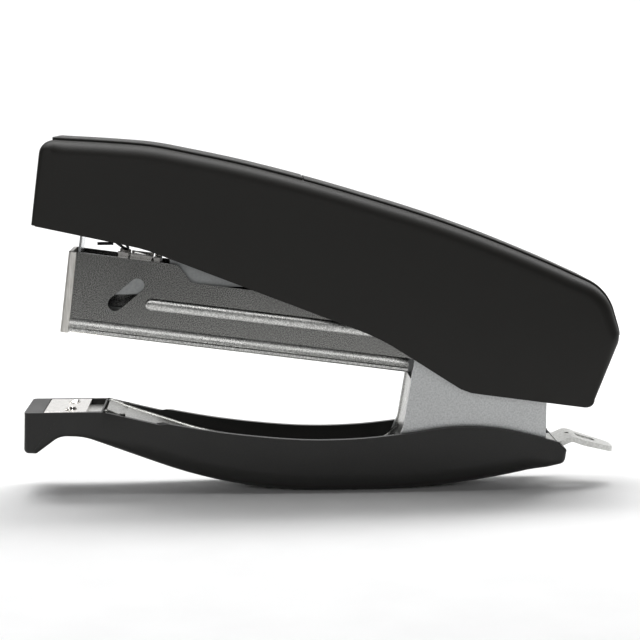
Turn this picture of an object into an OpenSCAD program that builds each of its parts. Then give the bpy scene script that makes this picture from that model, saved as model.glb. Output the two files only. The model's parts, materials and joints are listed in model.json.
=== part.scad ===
// Hand-held plier stapler, standing on its belly with the jaw open.
// Side profiles are drawn in X (nose to rear) and Z (up), with X = 0 at the nose,
// and centred on the length at the end.

/* [Overall size] */
// Length from the nose of the base to the rear of the handle
overall_l = 175; // [170:1:215]
// Height of the handle's front top edge above the table
overall_h = 105; // [103:0.2:115]
// Width of the handle shell
handle_w = 30; // [28:0.5:38]
// Width of the base cover
base_w = 22.5; // [22:0.5:27]

/* [Handle] */
// Wall of the handle shell
handle_wall = 2.2; // [1.6:0.1:2.8]
// How far the crown falls from the front to the rear
crown_drop = 46.4; // [42:0.1:50]
// Length over which the shell's long edges are rounded off
edge_round = 5; // [2:0.5:6]
// Thickness of the two soft top panels
panel_t = 0.8; // [0.6:0.1:1.2]
// Width of the two soft top panels
panel_w = 20; // [14:0.5:22]
// Where the front panel ends, from the nose
panel_split = 81; // [60:1:110]
// Height of the shell's front wall
front_wall_h = 24.6; // [20:0.2:27]

/* [Base] */
// Wall of the base cover
base_wall = 1.6; // [1.2:0.1:2]
// Length of the flat part of the belly
belly_flat = 12; // [10:1:16]
// Height of the nose deck
nose_h = 25.3; // [24:0.1:27]

/* [Steel frame] */
// Sheet thickness of the frame
frame_t = 1.2; // [1:0.1:1.5]
// Gap between the frame and the cover on each side
frame_gap = 0.25; // [0.2:0.05:0.4]
// Depth of the flanges under the lower arm
flange_h = 6.5; // [5:0.1:7]

/* [Magazine] */
// Height of the side plates over the front third
mag_h = 23.5; // [22.5:0.5:24.5]
// Height of the side plates behind the step
mag_low_h = 18.5; // [16:0.5:20]
// Open jaw: floor of the magazine above the anvil
jaw_gap = 23.6; // [20:0.1:26]
// Sheet thickness of the magazine
mag_t = 0.8; // [0.6:0.1:1]
// Width of the channel that the staples run in
channel_w = 13.1; // [12.9:0.1:13.4]
// Depth of the front guide
guide_t = 2.4; // [1.8:0.1:3]
// Length of the loaded staple strip
strip_l = 50; // [20:1:60]

/* [Staples] */
// Outside width of a staple's crown
crown_w = 12.7;
// Length of a staple's leg, crown included
leg_h = 6;
// Wire of a staple
wire_t = 0.5;

/* [Pins and fits] */
// Diameter of the magazine's pivot pin
mag_pin_d = 4; // [3:0.1:5]
// Diameter of the handle's pivot pin
handle_pin_d = 5; // [4:0.1:6]
// Radial clearance of a pin in its running bore
pin_fit = 0.05; // [0.02:0.01:0.1]
// Side clearance between sheets that slide past each other
slide_gap = 0.25; // [0.15:0.05:0.3]

/* [Motion] */
// Handle's turn from open to shut, in degrees
handle_swing = 13;
// Travel of the driver blade in the magazine
blade_stroke = 6.9;

/* [Hidden] */
$fn = 48;
eps = 0.01;

// ---- shared stations ----
handle_hw = handle_w / 2;
channel_hw = channel_w / 2;
plate_hw = channel_hw + mag_t;
washer_room = 0.85;                       // between the magazine's plate and the bracket's cheek
base_hw = max(base_w / 2, plate_hw + washer_room + frame_t + frame_gap + base_wall);
base_in = base_hw - base_wall;
frame_hw = base_in - frame_gap;
frame_in = frame_hw - frame_t;
belly_x = overall_l - 87;                 // front end of the flat belly
belly_start = 34;                         // where the nose's hook runs into the belly
belly_start_z = 10.8334;
belly_r_front = (pow(belly_x - belly_start, 2) + pow(belly_start_z, 2)) / (2 * belly_start_z);
belly_r_rear = 225;
base_rear = overall_l - 14.8;
arm_low_z = 12.2;                         // lowest stretch of the arm's top face
web_foot_x = overall_l - 64.9;            // where the arm turns up into the bracket
web_top = [overall_l - 61.4, 33.2];       // top of the bracket's front web
mag_pivot = [overall_l - 53, 45];
handle_pivot = [overall_l - 28, 40];
frame_rear = overall_l - 21;
frame_top = 52;

// ---- magazine frame: s runs back along the floor, t stands up from it ----
mag_front = [11, nose_h + jaw_gap];
mag_pivot_t = 10.4;
pivot_dist = norm(mag_pivot - mag_front);
mag_tilt = atan2(mag_front[1] - mag_pivot[1], mag_pivot[0] - mag_front[0])
           + asin(mag_pivot_t / pivot_dist);
mag_pivot_s = sqrt(pivot_dist * pivot_dist - mag_pivot_t * mag_pivot_t);
bead_hw = plate_hw + 0.55;
bead_top = 4.2;
floor_t = 0.85;
race_end = (web_top[0] - 0.9 - mag_front[0]) / cos(mag_tilt);
blade_t = 0.7;
blade_s = guide_t + 0.2;
staple_s = blade_s + blade_t + 0.15;
crown_top = floor_t + 0.1 + leg_h;
rail_hw = crown_w / 2 - wire_t - 0.25;
rail_top = crown_top - wire_t - 0.1;
follower_s = staple_s + strip_l + 0.2;
follower_l = 8;
rod_t = 9.8;                              // height of the follower's rod
rod_d = 1.8;
bracket_s = race_end - 4.5;               // rod bracket at the rear of the rail
lever_hw = channel_hw - slide_gap;
lever_in = lever_hw - frame_t;
lever_low_z = mag_front[1] + 12.4;        // underside of the lever inside the magazine
blade_top = blade_stroke + mag_h + 10.6;

// ---- anvil ----
tongue_z = nose_h - 1.6;
anvil_x = [6, 18.2];
anvil_hw = base_hw - 1.25;
bulb_x = 24.4;

// ---- colours ----
black_plastic = [0.13, 0.13, 0.12];
soft_black = [0.16, 0.16, 0.15];
grey_steel = [0.62, 0.62, 0.6];
dark_chrome = [0.45, 0.47, 0.46];
bright_chrome = [0.85, 0.85, 0.84];
nickel = [0.75, 0.73, 0.7];
spring_black = [0.1, 0.1, 0.1];

// ---- helpers ----
// unit vector from a to b
function unit(a, b) = (b - a) / norm(b - a);

// points of the arc that rounds corner b of the path a-b-c with radius r
function corner_arc(a, b, c, r) =
    let (u = unit(b, a), v = unit(b, c), half = acos(u * v) / 2, reach = r / tan(half),
         start = b + u * reach, stop = b + v * reach, centre = b + (u + v) / norm(u + v) * r / sin(half),
         a0 = atan2(start[1] - centre[1], start[0] - centre[0]),
         turn = (atan2(stop[1] - centre[1], stop[0] - centre[0]) - a0 + 540) % 360 - 180,
         n = max(2, ceil(abs(turn) / 9)))
    [for (i = [0 : n]) centre + r * [cos(a0 + turn * i / n), sin(a0 + turn * i / n)]];

// closed outline from corners [x, z, radius]; a radius of 0 keeps the corner sharp
function rounded(p) =
    [for (i = [0 : len(p) - 1])
        let (n = len(p), a = p[(i + n - 1) % n], b = p[i], c = p[(i + 1) % n])
        each (b[2] == 0 ? [[b[0], b[1]]]
                        : corner_arc([a[0], a[1]], [b[0], b[1]], [c[0], c[1]], b[2]))];

// smooth curve through the points p, n steps between neighbours
function through(p, n = 6) =
    [for (i = [0 : len(p) - 2], k = [0 : n - 1])
        let (a = p[max(i - 1, 0)], b = p[i], c = p[i + 1], d = p[min(i + 2, len(p) - 1)], q = k / n)
        0.5 * (2 * b + (c - a) * q + (2 * a - 5 * b + 4 * c - d) * q * q
               + (3 * b - a - 3 * c + d) * q * q * q),
     p[len(p) - 1]];

// the path p moved sideways by d, to its right-hand side
function beside(p, d) =
    [for (i = [0 : len(p) - 1])
        let (u = unit(p[max(i - 1, 0)], p[min(i + 1, len(p) - 1)])) p[i] + d * [u[1], -u[0]]];

// the path p drawn in by d, with the share tuck_x of it along X
tuck_x = 0.3;
function tucked(p, d) =
    [for (i = [0 : len(p) - 1])
        let (u = unit(p[max(i - 1, 0)], p[min(i + 1, len(p) - 1)])) p[i] + d * [tuck_x * u[1], -u[0]]];

function backwards(p) = [for (i = [len(p) - 1 : -1 : 0]) p[i]];

// the side profile children() as a plate from y0 to y1
module slab(y0, y1) {
    translate([0, y1, 0]) rotate([90, 0, 0]) linear_extrude(y1 - y0) children();
}

// the side profile as a pair of plates, mirrored about the middle
module cheeks(y0, y1) {
    slab(y0, y1) children();
    slab(-y1, -y0) children();
}

// a section in Y and Z run along X from x0 to x1
module run(x0, x1) {
    translate([x0, 0, 0]) rotate([90, 0, 90]) linear_extrude(x1 - x0) children();
}

// a round bar along Y
module cross_bar(at, d, y0, y1) {
    translate([at[0], y1, at[1]]) rotate([90, 0, 0]) cylinder(d = d, h = y1 - y0);
}

module block(x, y, z) {
    translate([x[0], y[0], z[0]]) cube([x[1] - x[0], y[1] - y[0], z[1] - z[0]]);
}

// centres the model on its length
module centred() {
    translate([-(overall_l + remover_out) / 2, 0, 0]) children();
}

// the magazine's own frame, tilted up at the nose
module in_magazine() {
    translate([mag_front[0], 0, mag_front[1]]) rotate([0, mag_tilt, 0]) children();
}

// ---- base cover ----
function belly_z(x) =
    x < belly_x ? belly_r_front - sqrt(pow(belly_r_front, 2) - pow(belly_x - x, 2))
    : x > belly_x + belly_flat
        ? belly_r_rear - sqrt(pow(belly_r_rear, 2) - pow(x - belly_x - belly_flat, 2))
        : 0;
belly_steps = 16;
function belly(raise, x0, x1) =
    [for (i = [0 : belly_steps]) let (x = x0 + (x1 - x0) * i / belly_steps) [x, belly_z(x) + raise]];

rim = through([[40.4, 21.9], [58.6, 18.7], [80, 16.5], [overall_l - 78, 16.5], [overall_l - 63, 17.9],
               [overall_l - 49, 19.7], [overall_l - 35, 19.1], [overall_l - 18.5, 15.2]]);
rear_low = [base_rear - 0.6, belly_z(base_rear) + 0.4];

base_outline = concat(
    rounded([[0.4, nose_h - 1.1, 1], [0, 13.2, 1.4], [3.6, 13, 1.2], [10.5, 18.1, 6], [17.5, 17.9, 16],
             [belly_start, belly_z(belly_start), 0], [belly_start, nose_h - 2, 0], [12, nose_h, 0],
             [6, nose_h - 0.1, 0]]));

module base_side() {
    polygon(base_outline);
    polygon(concat(belly(0, belly_start - eps, base_rear - 4),
                   [rear_low, [base_rear, 12.4], [base_rear - 1.6, 14.2]],
                   backwards(rim),
                   [[40.4, 21.3], [31, 23.4], [23.5, nose_h], [12, nose_h], [12, 19],
                    [belly_start - eps, belly_z(belly_start)]]));
}

// room inside the cover behind the anvil
module base_room() {
    slab(-base_in, base_in)
        polygon(concat(belly(base_wall + 0.2, belly_start, base_rear - 4),
                [[base_rear - 2.6, 12], [base_rear - 2.6, 30], [bulb_x - 5.8, 30],
                 [bulb_x - 5.8, tongue_z - frame_t - 0.1], [bulb_x - 2.8, tongue_z - frame_t - 0.1],
                 [bulb_x - 2.8, 17.7]]));
}

boss_x = [62, overall_l - 41];
boss_d = 7;
screw_d = 3;
function arm_under(x) = arm_z(x) - frame_t;

module base_cover() {
    color(black_plastic) centred() difference() {
        union() {
            difference() {
                slab(-base_hw, base_hw) base_side();
                base_room();
            }
            translate([boss_x[0], 0, 1]) cylinder(d = boss_d, h = arm_under(boss_x[0] + boss_d) - 1.3);
            translate([boss_x[1], 0, 2.2]) cylinder(d = boss_d, h = rear_web_z - frame_t - 2.3);
        }
        // seat of the anvil plate and of the arm's tongue under it
        block([anvil_x[0] - 0.2, anvil_x[1] + 0.5], [-anvil_hw - 0.15, anvil_hw + 0.15],
              [tongue_z - 0.05, 40]);
        block([tongue_x - 0.3, bulb_x], [-frame_hw - 0.15, frame_hw + 0.15],
              [tongue_z - frame_t - 0.1, 40]);
        // way out for the staple remover
        block([base_rear - 6, base_rear + 2], [-remover_hw - 0.3, remover_hw + 0.3],
              [rear_web_z - 0.2, 30]);
        for (x = boss_x) {
            translate([x, 0, -1]) cylinder(d = screw_d + 0.4, h = 30);
            translate([x, 0, -1]) cylinder(d = screw_d * 2.1, h = belly_z(x) + 3.2);
        }
    }
}

// ---- steel frame ----
tongue_x = 5;
arm_top = through([[bulb_x + 0.6, nose_h + 0.1], [30.6, 23.1], [40.6, 19.8], [50.9, 16.5], [66, 13.5],
                   [81.5, arm_low_z], [web_foot_x - 12, arm_low_z], [web_foot_x - 4.5, 12.9],
                   [web_foot_x - 0.6, 15.4], [web_foot_x + 1.2, 19.5], web_top]);
function arm_z(x) = lookup(x, [for (p = arm_top) p]);
rear_web_z = 12;
rear_web = [overall_l - 48, overall_l - 23];

module bracket_side() {
    polygon(rounded([[web_foot_x - 3, 7.5, 0], [web_foot_x - 2, 12, 0], [web_foot_x + 1.3, 19.5, 4],
                     [web_top[0] + 0.1, web_top[1] + 0.6, 0],
                     [web_top[0] + 2.6, frame_top, 8], [frame_rear, frame_top, 10],
                     [frame_rear, 11, 0], [frame_rear - 6, 9.8, 0]]));
}

module steel_frame() {
    color(grey_steel) centred() difference() {
        union() {
            slab(-frame_hw, frame_hw) polygon(concat(arm_top, backwards(beside(arm_top, frame_t))));
            cheeks(frame_in, frame_hw) polygon(concat(arm_top, backwards(beside(arm_top, flange_h))));
            // tongue under the anvil plate, and the step up to the arm
            block([tongue_x, bulb_x], [-frame_hw, frame_hw], [tongue_z - frame_t, tongue_z]);
            slab(-frame_hw, frame_hw)
                polygon([[bulb_x - 1.4, tongue_z - frame_t], [bulb_x + 1.6, tongue_z - frame_t],
                         [bulb_x + 1.6, nose_h - 0.4], [bulb_x + 0.6, nose_h + 0.1],
                         [bulb_x - 0.9, nose_h - 0.3],
                         [bulb_x - 1.4, tongue_z]]);
            cheeks(frame_in, frame_hw) bracket_side();
            block(rear_web, [-frame_hw, frame_hw], [rear_web_z - frame_t, rear_web_z]);
        }
        cross_bar(mag_pivot, mag_pin_d, -frame_hw - 1, frame_hw + 1);
        cross_bar(handle_pivot, handle_pin_d, -frame_hw - 1, frame_hw + 1);
        translate([boss_x[0], 0, 0]) cylinder(d = screw_d, h = 30);
        translate([boss_x[1], 0, 0]) cylinder(d = screw_d, h = rear_web_z + 2);
        translate([rivet_x, 0, 5]) cylinder(d = 3, h = rear_web_z);
        translate([anvil_rivet_x, 0, 18]) cylinder(d = 2.4, h = 10);
    }
}

// ---- anvil ----
anvil_rivet_x = 8.6;
pocket_x = 13.4;
pocket_r = 9;

module clinch_pocket(side) {
    translate([pocket_x - 1.5, side * anvil_hw * 0.54, nose_h + pocket_r - 0.9]) rotate([0, 90, 0])
        cylinder(r = pocket_r, h = 3);
}

module anvil_plate() {
    color(bright_chrome) centred() difference() {
        block(anvil_x, [-anvil_hw, anvil_hw], [tongue_z, nose_h]);
        clinch_pocket(1);
        clinch_pocket(-1);
        translate([anvil_rivet_x, 0, tongue_z - eps]) cylinder(d = 2.4, h = 0.9);
    }
}

module anvil_rivet() {
    color(nickel) centred() translate([anvil_rivet_x, 0, tongue_z - frame_t])
        cylinder(d = 2.4, h = frame_t + 0.88);
}

// ---- screws, pins and washers of the frame ----
module base_screws() {
    color(nickel) centred() for (i = [0, 1]) {
        top = i == 0 ? arm_under(boss_x[0]) + 0.9 : rear_web_z;
        translate([boss_x[i], 0, belly_z(boss_x[i]) + 0.6]) difference() {
            union() {
                cylinder(d = screw_d * 2, h = 1.6);
                cylinder(d = screw_d, h = top - belly_z(boss_x[i]) - 0.6);
            }
            for (turn = [0, 90])
                rotate([0, 0, turn]) block([-1.7, 1.7], [-0.35, 0.35], [-1, 0.9]);
        }
    }
}

// pivot pin with a riveted head on each side
module headed_pin(at, d) {
    cross_bar(at, d, -frame_hw - 0.05, frame_hw + 0.05);
    for (side = [-1, 1])
        translate([at[0], side * frame_hw, at[1]]) rotate([-90 * side, 0, 0])
            cylinder(d1 = d * 1.7, d2 = d * 1.2, h = 0.9);
}

module magazine_pin() {
    color(nickel) centred() headed_pin(mag_pivot, mag_pin_d);
}

module handle_pin() {
    color(nickel) centred() headed_pin(handle_pivot, handle_pin_d);
}

module washer_pair(at, bore, y0, y1) {
    for (side = [0, 1]) mirror([0, side, 0]) difference() {
        cross_bar(at, bore + 4, y0, y1);
        cross_bar(at, bore, y0 - 1, y1 + 1);
    }
}

module magazine_washers() {
    color([0.9, 0.9, 0.86]) centred()
        washer_pair(mag_pivot, mag_pin_d + 2 * pin_fit, plate_hw + 0.06, frame_in - 0.06);
}

module handle_washers() {
    color([0.9, 0.9, 0.86]) centred()
        washer_pair(handle_pivot, handle_pin_d + 2 * pin_fit, lever_hw + 0.06, frame_in - 0.06);
}

// ---- staple remover ----
remover_hw = 6.5;
remover_t = 1.6;
remover_out = 0.8;                        // how far it stands out behind the handle
remover_tip = overall_l + remover_out;
rivet_x = overall_l - 32;
remover_top = through([[overall_l - 24, rear_web_z + remover_t],
                       [overall_l - 17, rear_web_z + remover_t + 0.3],
                       [overall_l - 12.5, 15.4], [overall_l - 8, 14.1], [remover_tip, 11.6]]);

module staple_remover() {
    color(bright_chrome) centred() intersection() {
        difference() {
            slab(-remover_hw, remover_hw)
                polygon(concat([[overall_l - 37, rear_web_z + remover_t]], remover_top,
                               backwards(beside(remover_top, remover_t)),
                               [[overall_l - 24, rear_web_z], [overall_l - 37, rear_web_z]]));
            translate([rivet_x, 0, 0]) cylinder(d = 3, h = 30);
            translate([overall_l - 12.8, 0, 0]) cylinder(d = 1.4, h = 30);
            // slot that the lifted staple drops through
            translate([overall_l - 8.4, 0, 0]) linear_extrude(30)
                polygon(rounded([[-2, -2.4, 1], [4, -1.7, 1], [4, 1.7, 1], [-2, 2.4, 1]]));
        }
        // the tongue narrows to its tip
        linear_extrude(40)
            polygon(rounded([[overall_l - 38, -remover_hw, 1.5], [overall_l - 9, -remover_hw, 6],
                             [remover_tip, -3.4, 2], [remover_tip, 3.4, 2],
                             [overall_l - 9, remover_hw, 6], [overall_l - 38, remover_hw, 1.5]]));
    }
}

module remover_rivet() {
    color(nickel) centred() translate([rivet_x, 0, rear_web_z - frame_t]) {
        cylinder(d = 3, h = frame_t + remover_t);
        translate([0, 0, frame_t + remover_t]) cylinder(d1 = 5, d2 = 3.6, h = 1);
    }
}

// ---- magazine ----
slot_low = [14.9, 9.8];
slot_high = [20.7, 15.9];
slot_d = 4.2;
rib_t = 11;
rib_s = [23.6, race_end - 8];

module plate_side(slotted) {
    difference() {
        union() {
            polygon(rounded([[guide_t, bead_top - eps, 0], [guide_t, mag_h, 1.2], [31.8, mag_h - 0.2, 2],
                             [36.2, mag_low_h + 0.1, 2], [mag_pivot_s, mag_low_h, 0],
                             [mag_pivot_s, bead_top, 0], [race_end, bead_top - eps, 0]]));
            translate([mag_pivot_s, mag_pivot_t]) circle(r = mag_low_h - mag_pivot_t);
        }
        if (slotted) hull() {
            translate(slot_low) circle(d = slot_d);
            translate(slot_high) circle(d = slot_d);
        }
        translate([mag_pivot_s, mag_pivot_t]) circle(d = mag_pin_d + 2 * pin_fit);
    }
}

module magazine_shell() {
    color(dark_chrome) centred() in_magazine() {
        // the oblique slot is punched in one plate only
        slab(-plate_hw, -channel_hw) plate_side(true);
        slab(channel_hw, plate_hw) plate_side(false);
        // pressed ribs along the plates
        for (side = [0, 1]) mirror([0, side, 0])
            run(rib_s[0], rib_s[1])
                polygon([[plate_hw - eps, rib_t - 1.8], [plate_hw + 0.4, rib_t - 1],
                         [plate_hw + 0.4, rib_t + 1], [plate_hw - eps, rib_t + 1.8]]);
        // floor and beaded foot that the staples slide in
        run(staple_s, race_end) polygon([[-channel_hw - eps, 0], [channel_hw + eps, 0],
                                         [channel_hw + eps, floor_t], [-channel_hw - eps, floor_t]]);
        for (side = [0, 1]) mirror([0, side, 0])
            run(guide_t, race_end)
                polygon([[channel_hw, 0], [bead_hw - 0.5, 0], [bead_hw, 0.5], [bead_hw, 1.4],
                         [bead_hw - 0.4, 1.75], [bead_hw, 2.1], [plate_hw, bead_top],
                         [channel_hw, bead_top]]);
    }
}

module front_guide() {
    color(bright_chrome) centred() in_magazine() difference() {
        block([0, guide_t], [-bead_hw, bead_hw], [-0.3, mag_h]);
        block([-1, guide_t - 1], [-channel_hw + 1, channel_hw - 1], [2, mag_h - 2]);
    }
}

module inner_rail() {
    color(nickel) centred() in_magazine() difference() {
        block([staple_s + 0.2, bracket_s], [-rail_hw, rail_hw], [floor_t, rail_top]);
        block([staple_s - 1, bracket_s + 1], [-rail_hw + mag_t, rail_hw - mag_t],
              [floor_t - 1, rail_top - mag_t]);
        for (s = rail_rivet_s) translate([s, 0, 0]) cylinder(d = 2, h = 20);
    }
}

rail_rivet_s = [bracket_s - 6, bracket_s - 14];
module rail_rivets() {
    color(nickel) centred() in_magazine() for (s = rail_rivet_s)
        translate([s, 0, floor_t + 0.02]) cylinder(d = 2, h = rail_top - floor_t - 0.02);
}

module staple_strip() {
    color([0.75, 0.76, 0.78]) centred() in_magazine() difference() {
        block([staple_s, staple_s + strip_l], [-crown_w / 2, crown_w / 2], [crown_top - leg_h, crown_top]);
        block([staple_s - 1, staple_s + strip_l + 1], [-crown_w / 2 + wire_t, crown_w / 2 - wire_t],
              [-1, crown_top - wire_t]);
    }
}

follower_top = 11.6;
module follower() {
    color(bright_chrome) centred() in_magazine() difference() {
        block([follower_s, follower_s + follower_l], [-crown_w / 2, crown_w / 2],
              [floor_t + 0.1, follower_top]);
        block([follower_s - 1, follower_s + follower_l + 1], [-rail_hw - 0.15, rail_hw + 0.15],
              [-1, rail_top + 0.12]);
        translate([follower_s - 1, 0, rod_t]) rotate([0, 90, 0])
            cylinder(d = rod_d + 0.2, h = follower_l + 2);
    }
}

spring_d = 4.6;
module follower_spring() {
    color(spring_black) centred() in_magazine()
        translate([follower_s + follower_l + 0.1, 0, rod_t]) rotate([0, 90, 0]) difference() {
            cylinder(d = spring_d, h = bracket_s - follower_s - follower_l - 0.2);
            translate([0, 0, -1]) cylinder(d = rod_d + 0.8, h = 200);
        }
}

module spring_rod() {
    color(nickel) centred() in_magazine() translate([follower_s - 4, 0, rod_t]) rotate([0, 90, 0])
        cylinder(d = rod_d, h = bracket_s + frame_t - follower_s + 4);
}

module rod_bracket() {
    color(grey_steel) centred() in_magazine() difference() {
        block([bracket_s, bracket_s + frame_t], [-channel_hw + 0.02, channel_hw - 0.02],
              [floor_t, rod_t + 2.6]);
        translate([bracket_s - 1, 0, rod_t]) rotate([0, 90, 0]) cylinder(d = rod_d, h = 4);
    }
}

// inverted channel between the side plates that carries the return spring
bridge_s = [13.8, 26.6];
bridge_low_t = 12.2;
bridge_level = 10.4;                      // its low edge, above the magazine's front
module spring_bridge() {
    color(bright_chrome) centred() in_magazine() difference() {
        block(bridge_s, [-channel_hw + 0.02, channel_hw - 0.02], [bridge_low_t, mag_h - 0.1]);
        block([bridge_s[0] - 1, bridge_s[1] + 1], [-channel_hw + 0.9, channel_hw - 0.9],
              [bridge_low_t - 1, mag_h - 0.9]);
        // the low edge runs level with the table while the jaw is open
        rotate([0, -mag_tilt, 0]) block([0, 60], [-20, 20], [0, bridge_level]);
    }
}

// springy tongue that keeps the coil's foot in place
module spring_tongue() {
    color(bright_chrome) centred() in_magazine()
        slab(-2.2, 2.2) polygon([[bridge_s[0] + 3.4, mag_h - 0.1], [bridge_s[0] + 4.6, mag_h + 1.2],
                                 [bridge_s[0] + 5.2, mag_h + 1.2], [bridge_s[1] - 1, mag_h + 0.3],
                                 [bridge_s[1] - 1, mag_h - 0.1]]);
}

// ---- return spring between the magazine and the lever ----
coil_d = 6.2;
coil_lean = 45;
coil_foot = [mag_front[0] + 16.6, mag_front[1] + mag_h + 0.3];
coil_l = 11;
module return_spring() {
    color(spring_black) centred()
        translate([coil_foot[0], 0, coil_foot[1]]) rotate([0, coil_lean, 0]) difference() {
            cylinder(d = coil_d, h = coil_l);
            translate([0, 0, -1]) cylinder(d = coil_d - 2, h = coil_l + 2);
        }
}

spring_pin_d = 3;
spring_pin_at = coil_foot + (coil_l + spring_pin_d / 2 + 0.25) * [sin(coil_lean), cos(coil_lean)];
module spring_pin() {
    color(nickel) centred() cross_bar(spring_pin_at, spring_pin_d, -lever_hw, lever_hw);
}

// ---- driver blade ----
blade_hw = 6;
module driver_blade() {
    color([0.7, 0.71, 0.72]) centred() in_magazine()
        block([blade_s, blade_s + blade_t], [-blade_hw, blade_hw], [crown_top + 0.2, blade_top]);
}

// ---- hammer lever inside the handle ----
blade_top_at = [mag_front[0] + blade_s * cos(mag_tilt) + blade_top * sin(mag_tilt),
                mag_front[1] - blade_s * sin(mag_tilt) + blade_top * cos(mag_tilt)];
lever_nose_z = blade_top_at[1] + 1;
lever_top = through([[11, lever_nose_z + 4.4], [40, lever_nose_z + 2], [80, lever_nose_z - 8],
                     [overall_l - 55, lever_nose_z - 25], [overall_l - 24, handle_pivot[1] + 9]]);
lever_step_x = mag_front[0] + (bridge_s[1] + 2.6) * cos(mag_tilt) + mag_h * sin(mag_tilt);
module lever_side() {
    polygon(concat(lever_top,
                   rounded([[handle_pivot[0] + 6, handle_pivot[1] + 8, 0],
                            [handle_pivot[0] + 6.5, handle_pivot[1] - 6, 6],
                            [handle_pivot[0] - 6.5, handle_pivot[1] - 6, 5],
                            [handle_pivot[0] - 12, handle_pivot[1] + 9, 4],
                            [mag_pivot[0] - 1, mag_pivot[1] + 10, 6],
                            [mag_pivot[0] - 22, mag_pivot[1] + 11.5, 8],
                            [mag_pivot[0] - 45, lever_low_z, 8],
                            [lever_step_x, lever_low_z, 1.5], [lever_step_x, spring_pin_at[1] - 5, 2],
                            [spring_pin_at[0] - 4, spring_pin_at[1] - 3.2, 3],
                            [blade_top_at[0] + 3.4, lever_nose_z - 5, 1],
                            [blade_top_at[0] + 3.4, lever_nose_z, 0],
                            [11, lever_nose_z, 0]])));
}

module hammer_lever() {
    color([0.66, 0.67, 0.67]) centred() difference() {
        slab(-lever_hw, lever_hw) lever_side();
        // open underneath: a web along the top and a cheek on each side
        slab(-lever_in, lever_in)
            polygon(concat([[0, 0], [0, lever_nose_z + 3.2]], beside(lever_top, frame_t),
                           [[overall_l, handle_pivot[1]], [overall_l, 0]]));
        cross_bar(handle_pivot, handle_pin_d + 2 * pin_fit, -20, 20);
        cross_bar(spring_pin_at, spring_pin_d, -20, 20);
        for (x = post_x) translate([x, 0, lever_z(x) - 8]) cylinder(d = screw_d + 0.2, h = 16);
    }
}
function lever_z(x) = lookup(x, [for (p = lever_top) p]);

// ---- handle shell ----
crown_x0 = 3.5;
crown_bend = 48;                          // from here back the crown's curve stretches with the length
// how far the crown has fallen at each station: nearly level at first, then steeper and steeper
crown_fall = through([for (p = [[0, -0.5], [16, 0.2], [28, 0.95], [38, 1.85], [crown_bend, 3.7], [64, 7.1],
                                [82, 11.7], [100, 16.9], [118, 22.5], [136, 29], [154, 36.4], [164, 41],
                                [175, 46.4]])
    [p[0] < crown_bend ? p[0]
                       : crown_bend + (p[0] - crown_bend) * (overall_l - crown_bend) / (175 - crown_bend),
     p[1] * crown_drop / 46.4]]);
function crown_z(x) = overall_h - lookup(x, crown_fall);
crown_end = overall_l - 15;
crown_steps = 22;
front_low = [crown_x0, overall_h - front_wall_h];
front_corner = corner_arc(front_low, [crown_x0 + 3.2, crown_z(4)], [crown_x0 + 20, crown_z(crown_x0 + 20)], 5);
// front wall, crown and rear wall as one open path, at the panels' outer face
crown_path = concat(
    [front_low],
    front_corner,
    [for (i = [0 : crown_steps]) let (x = 14 + (crown_end - 14) * i / crown_steps) [x, crown_z(x)]],
    corner_arc([crown_end, crown_z(crown_end)], [overall_l - 3.2, crown_z(overall_l - 3.2) + 0.4],
               [overall_l + 0.6, 46.3], 15),
    corner_arc([overall_l - 3.2, crown_z(overall_l - 3.2)], [overall_l + 0.9, 46.3],
               [overall_l - 8.4, 25.6], 7),
    corner_arc([overall_l + 0.9, 46.3], [overall_l - 8.3, 25.7], [overall_l - 46, 30.9], 3.6));
// lower edge from the rear to the front
lower_edge = concat(
    corner_arc([overall_l - 9, 25.8], [overall_l - 46, 30.9], [overall_l - 71, 47], 12),
    corner_arc([overall_l - 46, 30.9], [overall_l - 71, 47], [36, front_low[1] - 7], 60),
    corner_arc([overall_l - 71, 47], [36, front_low[1] - 7], front_low, 40));
function shell_outline(inset) = concat(beside(crown_path, inset), lower_edge);

// solid under the crown with its long edges rounded off
module crown_solid(half_w, inset, bottom) {
    skin = beside(crown_path, inset);
    hull() {
        slab(-half_w, half_w) polygon(concat(tucked(skin, edge_round), bottom));
        slab(-half_w + edge_round * 0.3, half_w - edge_round * 0.3)
            polygon(concat(tucked(skin, edge_round * 0.3), bottom));
        slab(-half_w + edge_round, half_w - edge_round) polygon(concat(skin, bottom));
    }
}

post_x = [44, 92];
post_d = 7.5;
module handle_shell() {
    color(soft_black) centred() difference() {
        intersection() {
            crown_solid(handle_hw, panel_t, lower_edge);
            slab(-handle_hw, handle_hw) polygon(shell_outline(panel_t));
        }
        difference() {
            crown_solid(handle_hw - handle_wall, panel_t + handle_wall, [for (p = lower_edge) p - [0, 12]]);
            // screw posts down to the lever
            for (x = post_x)
                translate([x, 0, lever_z(x - post_d / 2) + 0.3]) cylinder(d = post_d, h = 60);
        }
        for (x = post_x) translate([x, 0, lever_z(x) - 4]) cylinder(d = screw_d, h = 9.5);
    }
}

module shell_screws() {
    color(nickel) centred() for (x = post_x) translate([x, 0, lever_z(x) - frame_t - 2.6]) {
        cylinder(d = screw_d * 1.9, h = 1.5);
        cylinder(d = screw_d, h = 8);
    }
}

// soft strip on the crown between two stations of the crown path
module panel_strip(from, to) {
    part = [for (i = [from : to]) crown_path[i]];
    slab(-panel_w / 2, panel_w / 2)
        polygon(concat(part, backwards([for (i = [from : to]) beside(crown_path, panel_t)[i]])));
}

front_first = len(front_corner);
split_i = front_first + 1 + floor((panel_split - 14) / (crown_end - 14) * crown_steps);
module front_panel() {
    color(soft_black) centred() panel_strip(front_first - 1, split_i);
}

rear_last = len(crown_path) - 1 - 12;
module rear_panel() {
    color(soft_black) centred() panel_strip(split_i, rear_last);
}

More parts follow.
